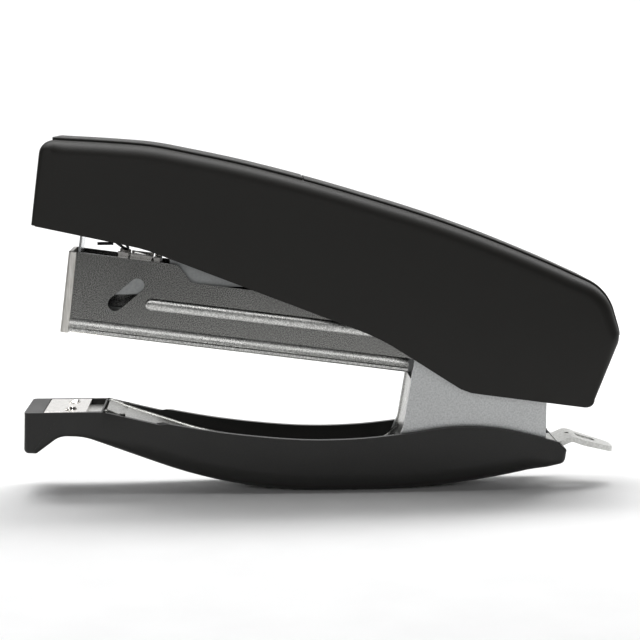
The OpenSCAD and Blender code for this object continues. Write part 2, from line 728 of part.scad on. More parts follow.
base_cover();
steel_frame();
anvil_plate();
anvil_rivet();
base_screws();
magazine_pin();
handle_pin();
magazine_washers();
handle_washers();
staple_remover();
remover_rivet();
magazine_shell();
front_guide();
inner_rail();
rail_rivets();
staple_strip();
follower();
follower_spring();
spring_rod();
rod_bracket();
spring_bridge();
spring_tongue();
return_spring();
driver_blade();
hammer_lever();
spring_pin();
handle_shell();
shell_screws();
front_panel();
rear_panel();
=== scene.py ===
# %% [markdown]
# # A plier stapler, dressed
# The stapler's working model comes first: thirty named parts on five bodies. Every piece
# made below rides on one of those bodies, so the tool still opens, squeezes and springs back.
# Lengths are typed in millimetres, measured back from the nose and up from the table, because
# that is how a maker would read them off the real tool.

# %% Frame
import json
import math

import bmesh
import bpy
from mathutils import Matrix, Vector


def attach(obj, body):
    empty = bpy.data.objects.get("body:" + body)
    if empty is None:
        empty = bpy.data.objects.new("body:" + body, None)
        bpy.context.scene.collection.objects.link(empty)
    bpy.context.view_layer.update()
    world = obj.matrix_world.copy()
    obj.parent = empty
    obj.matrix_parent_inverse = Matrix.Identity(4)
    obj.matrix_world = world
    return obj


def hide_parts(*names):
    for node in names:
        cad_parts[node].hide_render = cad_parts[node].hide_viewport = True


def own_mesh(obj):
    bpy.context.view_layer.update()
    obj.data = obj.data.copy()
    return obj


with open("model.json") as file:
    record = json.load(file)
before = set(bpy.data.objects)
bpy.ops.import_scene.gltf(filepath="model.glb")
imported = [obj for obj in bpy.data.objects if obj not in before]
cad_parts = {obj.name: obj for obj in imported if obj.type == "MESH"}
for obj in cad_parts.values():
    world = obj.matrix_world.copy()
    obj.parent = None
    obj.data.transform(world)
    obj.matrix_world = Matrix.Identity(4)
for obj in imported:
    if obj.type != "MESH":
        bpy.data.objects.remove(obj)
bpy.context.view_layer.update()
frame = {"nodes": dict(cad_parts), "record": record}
MM = 0.001
REST_FACE_X = 94
START_X = frame["record"]["mounts"][0]["pos_m"][0] - REST_FACE_X * MM


# %% Where things are
def at(x, y, z):
    """A point from millimetres: x back from the nose, y across, z up from the table."""
    return Vector((START_X + x * MM, y * MM, z * MM))


MAGAZINE_FRONT = (11, 48.9)
MAGAZINE_TILT = math.radians(7.385)


def in_magazine(s, y, t):
    """A point from millimetres along the magazine's floor, across it and up from it."""
    c, d = math.cos(MAGAZINE_TILT), math.sin(MAGAZINE_TILT)
    return at(MAGAZINE_FRONT[0] + s * c + t * d, y, MAGAZINE_FRONT[1] - s * d + t * c)


# %% [markdown]
# ## Finishes
# Three plastics and eleven metal finishes cover the whole tool. Each is a small node tree:
# two noises at different scales vary the colour and the roughness, and the finer one lifts
# the surface a few microns. Flat colours would look like toys, because real plating, paint and
# moulded grain are never even under a soft light.


# %% The common finish
GRAIN_DEPTH = 0.05 * MM


def finish(name, colours, metallic, roughness, grain=(2500, 0.15), patches=60, stretch=(1, 1, 1),
           contrast=(0.35, 0.65), specular=0.5):
    """A finish: two colours mixed by noise, roughness between two values, and a fine grain.

    grain is the fine noise's scale and how strongly it lifts the surface, patches the broad
    noise's scale, stretch draws the grain out along an axis, as brushing does.
    """
    made = bpy.data.materials.new(name)
    made.use_nodes = True
    nodes, links = made.node_tree.nodes, made.node_tree.links
    shader = nodes["Principled BSDF"]
    shader.inputs["Metallic"].default_value = metallic
    shader.inputs["Specular IOR Level"].default_value = specular
    place = nodes.new("ShaderNodeTexCoord")
    turn = nodes.new("ShaderNodeMapping")
    turn.inputs["Scale"].default_value = stretch
    links.new(place.outputs["Object"], turn.inputs["Vector"])
    fine = nodes.new("ShaderNodeTexNoise")
    fine.inputs["Scale"].default_value = grain[0]
    fine.inputs["Detail"].default_value = 3
    broad = nodes.new("ShaderNodeTexNoise")
    broad.inputs["Scale"].default_value = patches
    broad.inputs["Detail"].default_value = 4
    for noise in (fine, broad):
        links.new(turn.outputs["Vector"], noise.inputs["Vector"])
    ramp = nodes.new("ShaderNodeValToRGB")
    for stop, position, colour in zip(ramp.color_ramp.elements, contrast, colours):
        stop.position = position
        stop.color = (*colour, 1)
    links.new(fine.outputs["Fac"], ramp.inputs["Fac"])
    links.new(ramp.outputs["Color"], shader.inputs["Base Color"])
    spread = nodes.new("ShaderNodeMapRange")
    spread.inputs["From Min"].default_value = 0.3
    spread.inputs["From Max"].default_value = 0.7
    spread.inputs["To Min"].default_value = roughness[0]
    spread.inputs["To Max"].default_value = roughness[1]
    links.new(broad.outputs["Fac"], spread.inputs["Value"])
    links.new(spread.outputs["Result"], shader.inputs["Roughness"])
    bump = nodes.new("ShaderNodeBump")
    bump.inputs["Strength"].default_value = grain[1]
    bump.inputs["Distance"].default_value = GRAIN_DEPTH
    links.new(fine.outputs["Fac"], bump.inputs["Height"])
    links.new(bump.outputs["Normal"], shader.inputs["Normal"])
    return made


# %% Plastics
soft_touch = finish("soft_touch_coat", [(0.0115, 0.011, 0.0095), (0.0165, 0.0155, 0.0135)], 0, (0.46, 0.52),
                    grain=(4200, 0.25), patches=35, specular=0.3)
satin_black = finish("satin_black_moulding", [(0.008, 0.0078, 0.0068), (0.0125, 0.012, 0.0105)], 0,
                     (0.38, 0.46), grain=(3000, 0.3), patches=45, specular=0.45)
nylon = finish("natural_nylon", [(0.72, 0.72, 0.67), (0.8, 0.8, 0.76)], 0, (0.4, 0.5), patches=80)
print("plastics:", soft_touch.name, satin_black.name, nylon.name)

# %% Metals
speckled_chrome = finish("speckled_dark_chrome", [(0.07, 0.07, 0.067), (0.4, 0.4, 0.385)], 1, (0.2, 0.28),
                         grain=(3400, 0.3), patches=90)
# The pressed ribs and the rolled foot are the same sheet as the side plates. They get a brighter copy of its
# chrome, which is a painted highlight.
ribs_painted_highlight_chrome = finish("chrome_painted_highlight", [(0.34, 0.34, 0.33), (0.72, 0.72, 0.7)], 1, (0.24, 0.32),
                     grain=(2600, 0.18), patches=90)
bright_plate = finish("bright_nickel_plate", [(0.66, 0.64, 0.61), (0.8, 0.78, 0.75)], 1, (0.14, 0.24),
                      grain=(900, 0.12), patches=120)
guide_plate = finish("brushed_front_plate", [(0.66, 0.64, 0.6), (0.86, 0.84, 0.8)], 1, (0.36, 0.46),
                     grain=(1800, 0.3), stretch=(1, 1, 0.12))
zinc = finish("zinc_plate", [(0.5, 0.5, 0.48), (0.66, 0.66, 0.64)], 1, (0.28, 0.42), grain=(1400, 0.2))
grey_frame = finish("silver_grey_paint", [(0.5, 0.51, 0.51), (0.66, 0.67, 0.67)], 0.6, (0.4, 0.48),
                    grain=(1900, 0.3), contrast=(0.3, 0.62))
arm_plate = finish("speckled_arm_plate", [(0.2, 0.2, 0.19), (0.42, 0.42, 0.4)], 1, (0.26, 0.34),
                   grain=(2200, 0.3))
grey_lever = finish("smooth_grey_paint", [(0.31, 0.32, 0.32), (0.36, 0.37, 0.37)], 0.4, (0.36, 0.42),
                    grain=(1600, 0.12))
staple_wire = finish("bright_staple_wire", [(0.52, 0.53, 0.55), (0.68, 0.69, 0.71)], 1, (0.25, 0.35),
                     grain=(2600, 0.2), stretch=(1, 0.1, 1))
blade_steel = finish("ground_blade_steel", [(0.46, 0.47, 0.48), (0.6, 0.61, 0.62)], 1, (0.22, 0.32),
                     grain=(2400, 0.2), stretch=(1, 1, 0.08))
spring_black = finish("blackened_spring_wire", [(0.012, 0.012, 0.012), (0.03, 0.03, 0.03)], 0.5, (0.3, 0.4))
print("finishes:", len(bpy.data.materials))

# %% [markdown]
# ## Making and placing a piece
# A real sheet-metal or moulded edge is never razor sharp: it catches a thin line of light.
# So a piece is cleaned, its sharp edges are bevelled, and only then is it shaded. Flat faces
# keep a hard border to the bevel beside them, which stops the shading from bending across
# the flat. The piece then rides on a body and takes the place of the plain solid.

# %% Shade, place and hand over
MERGE = 0.0005 * MM      # points closer than this are one point
SHARP = 28               # degrees: a harder turn than this is an edge to ease
FLAT = 6                 # degrees: beside a bevel, a softer turn than this is shaded through
PIECES = []


def sharp_edges(bm, angle):
    """The edges where two faces meet at more than the angle, in degrees."""
    limit = math.radians(angle)
    return [e for e in bm.edges if len(e.link_faces) == 2 and e.calc_face_angle(0) > limit]


def soften(bm, width, segments=3):
    """Bevels every sharp edge and marks where the flats end, for shading."""
    made = bmesh.ops.bevel(bm, geom=sharp_edges(bm, SHARP), offset=width * MM, offset_type="OFFSET",
                           affect="EDGES", segments=segments, profile=0.5, material=-1, clamp_overlap=True)
    rounds = set(made["faces"])
    for edge in bm.edges:
        beside = [face in rounds for face in edge.link_faces]
        turn = math.degrees(edge.calc_face_angle(0)) if len(beside) == 2 else 0
        edge.smooth = all(beside) or turn < (FLAT if any(beside) else SHARP)


def merge(bm):
    """Joins points that lie on each other and drops faces without an area."""
    bmesh.ops.remove_doubles(bm, verts=bm.verts, dist=MERGE)
    bmesh.ops.dissolve_degenerate(bm, dist=MERGE, edges=bm.edges)


def piece(name, bm, body, slot, material, *nodes, edge=0.0, segments=3):
    """Makes the bmesh a finished piece on a body, standing for CAD nodes."""
    merge(bm)
    bmesh.ops.recalc_face_normals(bm, faces=bm.faces)
    if edge:
        soften(bm, edge, segments)
    for face in bm.faces:
        face.smooth = True
    mesh = bpy.data.meshes.new(name)
    bm.to_mesh(mesh)
    bm.free()
    made = bpy.data.objects.new(name, mesh)
    bpy.context.scene.collection.objects.link(made)
    mesh.materials.append(material)
    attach(made, body)
    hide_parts(*nodes)
    PIECES.append(made)
    print(f"{name}: {len(mesh.polygons)} faces on {body}")
    return made


# %% [markdown]
# ## Pieces whose plain solid is already right
# Pins, screws, the lever and the small brackets have the right shape in the working model.
# Their copies are merged, their flat faces are joined up again, and their edges are eased.


# %% Copies with eased edges
def from_solid(node):
    """A clean copy of a CAD node's mesh: merged, with its flats as single faces."""
    bm = bmesh.new()
    bm.from_mesh(frame["nodes"][node].data)
    bmesh.ops.remove_doubles(bm, verts=bm.verts, dist=0.002 * MM)
    bmesh.ops.dissolve_limit(bm, angle_limit=math.radians(0.5), verts=bm.verts, edges=bm.edges)
    return bm


EASED = [
    ("anvil_rivet", "frame", "zinc", zinc, 0.1), ("base_screws", "frame", "zinc", zinc, 0.12),
    ("magazine_pin", "frame", "zinc", zinc, 0.15), ("handle_pin", "frame", "zinc", zinc, 0.15),
    ("magazine_washers", "frame", "white_nylon", nylon, 0.06),
    ("handle_washers", "frame", "white_nylon", nylon, 0.06),
    ("remover_rivet", "frame", "zinc", zinc, 0.12), ("inner_rail", "magazine", "zinc", zinc, 0.15),
    ("rail_rivets", "magazine", "zinc", zinc, 0.1), ("spring_rod", "magazine", "zinc", zinc, 0.12),
    ("rod_bracket", "magazine", "grey_steel", grey_frame, 0.2),
    ("spring_bridge", "magazine", "polished_nickel", grey_lever, 0.25),
    ("spring_tongue", "magazine", "polished_nickel", bright_plate, 0.15),
    ("follower", "follower", "polished_nickel", bright_plate, 0.2),
    ("driver_blade", "driver", "blade_steel", blade_steel, 0.1),
    ("hammer_lever", "handle", "grey_paint", grey_lever, 0.2),
    ("spring_pin", "handle", "zinc", zinc, 0.12), ("shell_screws", "handle", "zinc", zinc, 0.12),
]
for node, body, slot, material, edge in EASED:
    piece(node + "_eased", from_solid(node), body, slot, material, node, edge=edge, segments=2)

# %% [markdown]
# ## Curves and skins
# The handle, the base and the frame's arm are long curved shapes with a constant idea of a
# cross-section. Each is drawn as one curve along the tool, and that chain of edges is extruded
# across, ring by ring, so the roundings run smoothly the whole way.


# %% Curves
def arc(before, corner, after, radius, step=9):
    """Points of the arc that rounds the corner between two directions."""
    b = Vector(corner)
    u, v = (Vector(before) - b).normalized(), (Vector(after) - b).normalized()
    half = u.angle(v) / 2
    middle = b + (u + v).normalized() * radius / math.sin(half)
    first, last = b + u * radius / math.tan(half), b + v * radius / math.tan(half)
    turn = (first - middle).angle_signed(last - middle)
    count = max(2, math.ceil(abs(math.degrees(turn)) / step))
    return [middle + Matrix.Rotation(-turn * i / count, 2) @ (first - middle) for i in range(count + 1)]


def through(points, steps=6):
    """A smooth curve through the points."""
    p = [Vector(q) for q in points]
    out = []
    for i in range(len(p) - 1):
        a, b, c, d = p[max(i - 1, 0)], p[i], p[i + 1], p[min(i + 2, len(p) - 1)]
        for k in range(steps):
            q = k / steps
            out.append(0.5 * (2 * b + (c - a) * q + (2 * a - 5 * b + 4 * c - d) * q * q
                              + (3 * b - a - 3 * c + d) * q ** 3))
    return out + [p[-1]]


def inward(path, distances):
    """The path moved to its right-hand side, each point by its own distance."""
    out = []
    for i, q in enumerate(path):
        way = (path[min(i + 1, len(path) - 1)] - path[max(i - 1, 0)]).normalized()
        out.append(q + distances[i] * Vector((way.y, -way.x)))
    return out


def height(path, x):
    """The height of a path that runs along the tool, at x."""
    for a, b in zip(path, path[1:]):
        if min(a.x, b.x) - 1e-9 <= x <= max(a.x, b.x) + 1e-9 and abs(b.x - a.x) > 1e-9:
            return a.y + (b.y - a.y) * (x - a.x) / (b.x - a.x)
    return path[0].y if x < min(q.x for q in path) else path[-1].y


def stations(path, first_x, last_x):
    """Stations for a path's points, spread by the length walked along it."""
    walked = [0]
    for a, b in zip(path, path[1:]):
        walked.append(walked[-1] + (b - a).length)
    return [first_x + (last_x - first_x) * w / walked[-1] for w in walked]


# %% Skins
def skin(bm, rings, closed=False):
    """Extrudes the first ring's chain of edges from ring to ring."""
    chain = [bm.verts.new(q) for q in rings[0]]
    pairs = list(zip(chain, chain[1:])) + ([(chain[-1], chain[0])] if closed else [])
    edges = [bm.edges.new(pair) for pair in pairs]
    for ring in rings[1:]:
        grown = bmesh.ops.extrude_edge_only(bm, edges=edges)["geom"]
        fresh = {g for g in grown if isinstance(g, bmesh.types.BMVert)}
        chain = [next(e.other_vert(v) for e in v.link_edges if e.other_vert(v) in fresh) for v in chain]
        for vert, q in zip(chain, ring):
            vert.co = q
        edges = [g for g in grown if isinstance(g, bmesh.types.BMEdge)
                 and all(v in fresh for v in g.verts)]


def mirrored(near):
    """The far half of a row of rings, as a mirror image of the near half."""
    return [[Vector((q.x, -q.y, q.z)) for q in ring] for ring in reversed(near)]


def open_edges(bm):
    """The edges along a rim, where only one face ends."""
    return [e for e in bm.edges if len(e.link_faces) == 1]


def join_skins(bm):
    """Closes the gap between an outer and an inner skin along their rims."""
    merge(bm)
    bmesh.ops.bridge_loops(bm, edges=open_edges(bm))


ROUND_STEPS = 8
TAIL_REACH = 14          # how far before a hood's end its rim is spread out evenly


def hood_rings(path, rim, half_width, radii):
    """Rings across a hood: up the near side, round the long edge, across and down again."""
    flat = inward(path, radii)
    tail = next(i for i, q in enumerate(flat) if q.x > path[-1].x - TAIL_REACH)
    under = [q.x for q in flat[:tail]] + stations(flat[tail:], flat[tail].x, path[-1].x)
    near = [[at(x, -half_width, height(rim, x)) for x in under]]
    for k in range(ROUND_STEPS + 1):
        a = math.radians(90 * k / ROUND_STEPS)
        points = inward(path, [r * (1 - math.sin(a)) for r in radii])
        near.append([at(q.x, -half_width + r * (1 - math.cos(a)), q.y) for q, r in zip(points, radii)])
    return near + mirrored(near)


# %% [markdown]
# ## The handle
# The handle is a thin black moulding with a soft-touch coat: a long hood with flat sides,
# a crown that falls away to the rear and roomy roundings along the top. It is hollow, so an
# outer and an inner skin are drawn the same way and joined along the lower rim.

# %% The handle's curves
TOTAL_L, TOP_Z, CROWN_X = 175, 105, 3.5
CROWN_FALL = through([(0, -0.5), (16, 0.2), (28, 0.95), (38, 1.85), (48, 3.7), (64, 7.1), (82, 11.7),
                      (100, 16.9), (118, 22.5), (136, 29), (154, 36.4), (164, 41), (175, 46.4)])
HANDLE_HW, HANDLE_WALL, PANEL_T = 15, 2.2, 0.8


def crown_z(x):
    """The height of the panels' top face: nearly level at first, then steeper and steeper."""
    return TOP_Z - height(CROWN_FALL, x)


FRONT_LOW = (CROWN_X, TOP_Z - 24.6)
CROWN_END = TOTAL_L - 15
TAIL_TOP = (TOTAL_L - 3.2, crown_z(TOTAL_L - 3.2) + 0.4)
TAIL_BACK = (TOTAL_L + 0.9, 46.3)
front_arc = arc(FRONT_LOW, (CROWN_X + 3.2, crown_z(4)), (CROWN_X + 20, crown_z(CROWN_X + 20)), 5, step=6)
CROWN_START, CROWN_STEPS = 14, 48
crown_line = [Vector((x, crown_z(x))) for x in
              [CROWN_START + (CROWN_END - CROWN_START) * i / CROWN_STEPS for i in range(CROWN_STEPS + 1)]]
rear_arcs = (arc((CROWN_END, crown_z(CROWN_END)), TAIL_TOP, (TOTAL_L + 0.6, 46.3), 15, step=5)
             + arc((TAIL_TOP[0], TAIL_TOP[1] - 0.4), TAIL_BACK, (TOTAL_L - 8.4, 25.6), 7, step=6)
             + arc(TAIL_BACK, (TOTAL_L - 8.3, 25.7), (TOTAL_L - 46, 30.9), 3.6, step=9))
front_wall = [Vector(FRONT_LOW) + (front_arc[0] - Vector(FRONT_LOW)) * i / 6 for i in range(6)]
crown = front_wall + front_arc + crown_line + rear_arcs
lower_edge = ([Vector(FRONT_LOW)]
              + arc(FRONT_LOW, (36, FRONT_LOW[1] - 7), (TOTAL_L - 71, 47), 40, step=3)
              + arc((36, FRONT_LOW[1] - 7), (TOTAL_L - 71, 47), (TOTAL_L - 46, 30.9), 60, step=3)
              + arc((TOTAL_L - 71, 47), (TOTAL_L - 46, 30.9), (TOTAL_L - 9, 25.8), 12, step=4)
              + [Vector((TOTAL_L - 9, 25.8))])
print("crown:", len(crown), "points, lower edge:", len(lower_edge))


# %% The hood
def ease(x, start, stop, low, high):
    """A smooth change from low to high between two stations."""
    q = min(max((x - start) / (stop - start), 0), 1)
    return low + (high - low) * q * q * (3 - 2 * q)


TAIL_END_Z, TAIL_LOW_Z = 26.1, 28.5


def shell_radius(q):
    """The rounding of the handle's long edge: tight at the front wall, broad on the crown."""
    if q.x > TOTAL_L - 12 and q.y < TAIL_LOW_Z:
        return ease(q.y, TAIL_END_Z, TAIL_LOW_Z, 0.05, 1.2)
    if q.x > TOTAL_L - 12:
        return ease(q.y, TAIL_LOW_Z, 56, 1.2, 4.6)
    return ease(q.x, 4.5, 13.5, 1.1, 5.0)


handle = bmesh.new()
taper = [PANEL_T * ease(q.y, TAIL_END_Z, 30, 0, 1) if q.x > TOTAL_L - TAIL_REACH else PANEL_T for q in crown]
outer = inward(crown, taper)
skin(handle, hood_rings(outer, lower_edge, HANDLE_HW, [shell_radius(q) for q in outer]))
inner = inward(crown, [inset + HANDLE_WALL for inset in taper])
skin(handle, hood_rings(inner, lower_edge, HANDLE_HW - HANDLE_WALL,
                        [max(shell_radius(q) - HANDLE_WALL, 0.4) for q in inner]))
join_skins(handle)
piece("handle_hood", handle, "handle", "soft_touch_black", soft_touch, "handle_shell",
      edge=0.35, segments=2)


# %% [markdown]
# ## The two soft panels
# Two thin pads lie on the crown, one behind the other, with a small step between them. The
# rear one carries on over the tail and ends there in a little notch.

# %% Panels
def pad(name, line, sink, node):
    """A soft strip along part of the crown, with its long edges rounded down to the hood."""
    rings = []
    half = [(10, PANEL_T), (10, 0.3 + sink), (9.75, 0.06 + sink), (9.3, sink)]
    for y, depth in [(-y, depth) for y, depth in half] + [(0, sink)] + half[::-1]:
        rings.append([at(q.x, y, q.y) for q in inward(line, [depth] * len(line))])
    bm = bmesh.new()
    skin(bm, rings)
    skin(bm, [rings[0], rings[-1]])
    bmesh.ops.remove_doubles(bm, verts=bm.verts, dist=MERGE)
    bmesh.ops.holes_fill(bm, edges=open_edges(bm), sides=0)
    return piece(name, bm, "handle", "soft_touch_black", soft_touch, node, edge=0.1, segments=2)


PANEL_END = 82
PANEL_SPLIT = next(i for i, q in enumerate(crown) if q.x > PANEL_END)
TAIL_END = next(i for i, q in enumerate(crown) if q.x > TOTAL_L - 5 and q.y < 46.2)
PAD_START = len(front_wall) + len(front_arc) - 3
split = [Vector((x, crown_z(x))) for x in (PANEL_END - 0.2, PANEL_END + 0.2)]
pad("crown_pad_front", crown[PAD_START:PANEL_SPLIT] + split[:1], 0.0, "front_panel")
pad("crown_pad_rear", split[1:] + crown[PANEL_SPLIT:TAIL_END], 0.08, "rear_panel")

# %% [markdown]
# ## The base cover
# The lower jaw is a satin black trough. Its sides turn under into a rounded belly, the rim
# dips towards the middle, and the nose is closed by a small deck that carries the anvil.

# %% The base's curves
BASE_HW, BASE_WALL, NOSE_Z, BEND_X = 11.25, 1.6, 25.3, 34
BELLY_X, BELLY_FLAT, FRONT_R, REAR_R = 88, 12, 140, 225
BASE_REAR = TOTAL_L - 14.8


def belly_z(x):
    if x < BELLY_X:
        return FRONT_R - math.sqrt(FRONT_R ** 2 - (BELLY_X - x) ** 2)
    past = max(x - BELLY_X - BELLY_FLAT, 0)
    return REAR_R - math.sqrt(REAR_R ** 2 - past ** 2)


nose_line = ([Vector((0.4, NOSE_Z)), Vector((0.4, NOSE_Z - 1.1))]
             + arc((0.4, NOSE_Z - 1.1), (0, 13.2), (3.6, 13), 1.4)
             + arc((0, 13.2), (3.6, 13), (10.5, 18.1), 1.2)
             + arc((3.6, 13), (10.5, 18.1), (17.5, 17.9), 6, step=6)
             + arc((10.5, 18.1), (17.5, 17.9), (BEND_X, belly_z(BEND_X)), 16, step=3))
BELLY_END, BELLY_STEPS = BASE_REAR - 5.5, 60
belly_line = [Vector((x, belly_z(x))) for x in
              [BEND_X + (BELLY_END - BEND_X) * i / BELLY_STEPS for i in range(BELLY_STEPS + 1)]]
TAIL_FOOT, RIM_END = (BASE_REAR - 0.5, belly_z(BASE_REAR) + 0.2), (BASE_REAR - 2.2, 14.1)
tail_line = (arc((BELLY_END, belly_z(BELLY_END)), TAIL_FOOT, (BASE_REAR, 12.4), 2.2)
             + arc(TAIL_FOOT, (BASE_REAR, 12.6), (BASE_REAR - 2.4, 14.2), 1.2)
             + [Vector(RIM_END)])
keel = nose_line + belly_line + tail_line
rim_line = ([Vector(q) for q in ((0, NOSE_Z), (23.5, NOSE_Z), (31, 23.4), (40.3, 21.2))]
            + through([(40.5, 21.9), (58.6, 18.7), (80, 16.5), (97, 16.5), (112, 17.9), (126, 19.7),
                       (140, 19.1), (156.5, 15.2), RIM_END]))
print("keel:", len(keel), "points")


# %% The trough
def keel_radius(q):
    if q.x > BASE_REAR - 12:
        return ease(q.x, BASE_REAR - 12, BASE_REAR, 6, 1.6) * ease(q.y, 11, 14, 1, 0.03)
    return ease(q.x, 14, 40, 1.3, 6)


def trough_rings(path, rims, half_width, radii):
    """Rings across a trough: down the near side, round under, across and up again."""
    near = [[at(x, -half_width, height(rim_line, x)) for x in rims]]
    for k in range(ROUND_STEPS + 1):
        a = math.radians(90 * k / ROUND_STEPS)
        points = inward(path, [-r * (1 - math.sin(a)) for r in radii])
        near.append([at(q.x, -half_width + r * (1 - math.cos(a)), q.y) for q, r in zip(points, radii)])
    return near + mirrored(near)


def rims_for(line, first_x, bend):
    """Rim stations over a keel line: spread by length at both ends, straight above between."""
    head = [q for q in line if q.x <= bend]
    tail = line[-len(tail_line) - 1:]
    middle = [q.x for q in line[len(head):len(line) - len(tail)]]
    front = stations(head, first_x, bend) if len(head) > 1 else [first_x]
    return front + middle + stations(tail, tail[0].x, RIM_END[0])


# %% The outer skin and the deck
DECK_END, RECESS_DEPTH = 23.5, 3.1
base = bmesh.new()
skin(base, trough_rings(keel, rims_for(keel, 1.7, BEND_X), BASE_HW, [keel_radius(q) for q in keel]))
merge(base)
level = at(0, 0, NOSE_Z - 0.01).z
nose_rim = [e for e in open_edges(base) if all(v.co.z > level for v in e.verts)]
ends = sorted({v for e in nose_rim for v in e.verts}, key=lambda v: -v.co.x)[:2]
deck_back = base.edges.new(ends)
RECESS = ((5.8, -10.15), (5.8, 10.15), (18.7, 10.15), (18.7, 9.55), (22.6, 9.55), (22.6, -9.55),
          (18.7, -9.55), (18.7, -10.15))
corners = [base.verts.new(at(x, y, NOSE_Z)) for x, y in RECESS]
recess_rim = [base.edges.new(pair) for pair in zip(corners, corners[1:] + corners[:1])]
bmesh.ops.triangle_fill(base, edges=nose_rim + [deck_back] + recess_rim, use_beauty=True, use_dissolve=False)
walls = bmesh.ops.extrude_edge_only(base, edges=recess_rim)["geom"]
low = [g for g in walls if isinstance(g, bmesh.types.BMVert)]
bmesh.ops.translate(base, verts=low, vec=(0, 0, -RECESS_DEPTH * MM))
bmesh.ops.holes_fill(base, edges=[g for g in walls if isinstance(g, bmesh.types.BMEdge)
                                  and all(v in low for v in g.verts)], sides=0)

# %% The liner
LINER_X, LINER_BEND = DECK_END + 0.2, 26
liner_keel = [Vector((LINER_X, 17.6))]
liner_keel += [q for q in inward(keel, [-BASE_WALL] * len(keel)) if q.x > LINER_BEND]
liner_keel[-1] = Vector(RIM_END)
liner_rims = rims_for(liner_keel, LINER_X, LINER_BEND)
skin(base, trough_rings(liner_keel, liner_rims, BASE_HW - BASE_WALL,
                        [max(keel_radius(q) - BASE_WALL, 0.4) for q in liner_keel]))
bmesh.ops.remove_doubles(base, verts=base.verts, dist=MERGE)
bmesh.ops.bridge_loops(base, edges=open_edges(base))
piece("base_trough", base, "frame", "black_plastic", satin_black, "base_cover", edge=0.3, segments=3)

# %% [markdown]
# ## The steel frame
# One bent strip makes the arm: an upside-down channel with rounded shoulders along both
# sides, a bulb where it ends behind the anvil, and a sweep up into the bracket. The bracket's
# two cheeks are flat sheet with punched pin holes.


# %% Flat sheet helpers
def corner_face(bm, corners, place):
    """A flat face from (u, v, radius) corners, each rounded with a vertex bevel."""
    verts = [bm.verts.new(place(u, v)) for u, v, _ in corners]
    made = [bm.edges.new(pair) for pair in zip(verts, verts[1:] + verts[:1])]
    for i, (vert, corner) in enumerate(zip(verts, corners)):
        if corner[2]:
            here = Vector(corner[:2])
            u = (Vector(corners[i - 1][:2]) - here).normalized()
            v = (Vector(corners[(i + 1) % len(corners)][:2]) - here).normalized()
            reach = corner[2] / math.tan(u.angle(v) / 2)
            bmesh.ops.bevel(bm, geom=[vert], offset=reach * MM, offset_type="OFFSET", affect="VERTICES",
                            segments=8, profile=0.5, material=-1)
    return made


def hole(bm, centre, radius, place, segments=32):
    """A round hole's rim, in the plane of the sheet."""
    verts = [bm.verts.new(place(centre[0] + radius * math.cos(2 * math.pi * i / segments),
                                centre[1] + radius * math.sin(2 * math.pi * i / segments)))
             for i in range(segments)]
    return [bm.edges.new(pair) for pair in zip(verts, verts[1:] + verts[:1])]


def sheet(bm, thickness):
    """Fills the drawn rims and gives the sheet its thickness along Y, towards positive Y."""
    flat = bmesh.ops.triangle_fill(bm, edges=[e for e in bm.edges if not e.link_faces], use_beauty=True)
    faces = [g for g in flat["geom"] if isinstance(g, bmesh.types.BMFace)]
    grown = bmesh.ops.extrude_face_region(bm, geom=faces)["geom"]
    bmesh.ops.translate(bm, verts=[g for g in grown if isinstance(g, bmesh.types.BMVert)],
                        vec=(0, thickness * MM, 0))


def both_sides(bm):
    """Adds the far side as a mirror image of the near side."""
    bmesh.ops.mirror(bm, geom=bm.verts[:] + bm.edges[:] + bm.faces[:], merge_dist=0.0, axis="Y")


# %% The arm
FRAME_HW, FRAME_IN, FRAME_T = 9.4, 8.2, 1.2
WEB_FOOT = TOTAL_L - 64.9
WEB_TOP = (TOTAL_L - 61.4, 33.2)
arm_line = ([Vector((23.1, 21.6)), Vector((23.05, 24.3))]
            + arc((23.05, 24.3), (23.3, 26.1), (30.6, 23.4), 1.1, step=15)
            + through([(25.8, 25.1), (30.6, 23.1), (40.6, 19.8), (50.9, 16.5), (66, 13.5), (81.5, 12.2),
                       (WEB_FOOT - 12, 12.2), (WEB_FOOT - 4.5, 12.9), (WEB_FOOT - 0.6, 15.4),
                       (WEB_FOOT + 1.2, 19.5), WEB_TOP], steps=10))
OUTSIDE = [(-FRAME_HW, 6.5), (-FRAME_HW, 1.5), (-9.36, 0.95), (-9.2, 0.5), (-8.9, 0.16), (-8.5, 0), (-8.05, 0.02),
           (-7.6, 0.2), (-7.2, 0.42), (-6.8, 0.5), (0, 0.5)]
INSIDE = [(-FRAME_IN, 6.5), (-FRAME_IN, 2.2), (-8.05, 1.8), (-7.6, 1.7), (0, 1.7)]


def channel_rings(section, line):
    near = [[at(q.x, y, q.y) for q in inward(line, [depth] * len(line))] for y, depth in section]
    return near + mirrored(near[:-1])


arm = bmesh.new()
skin(arm, channel_rings(OUTSIDE, arm_line))
skin(arm, channel_rings(INSIDE, arm_line))
bmesh.ops.bridge_loops(arm, edges=open_edges(arm))
piece("frame_arm", arm, "frame", "grey_steel", arm_plate, "steel_frame", edge=0.2, segments=2)

# %% The bracket's cheeks
MAGAZINE_PIN, HANDLE_PIN = (TOTAL_L - 53, 45), (TOTAL_L - 28, 40)
CHEEK = [(WEB_FOOT - 3, 7.5, 0), (WEB_FOOT - 2, 12, 3), (WEB_FOOT + 1.3, 19.5, 4),
         (WEB_TOP[0] + 0.1, 33.8, 0), (WEB_TOP[0] + 2.6, 52, 8), (TOTAL_L - 21, 52, 10),
         (TOTAL_L - 21, 11, 0), (TOTAL_L - 27, 9.8, 0)]


def near_cheek(x, z):
    """A point of the near cheek's outer face."""
    return at(x, -FRAME_HW - 0.03, z)


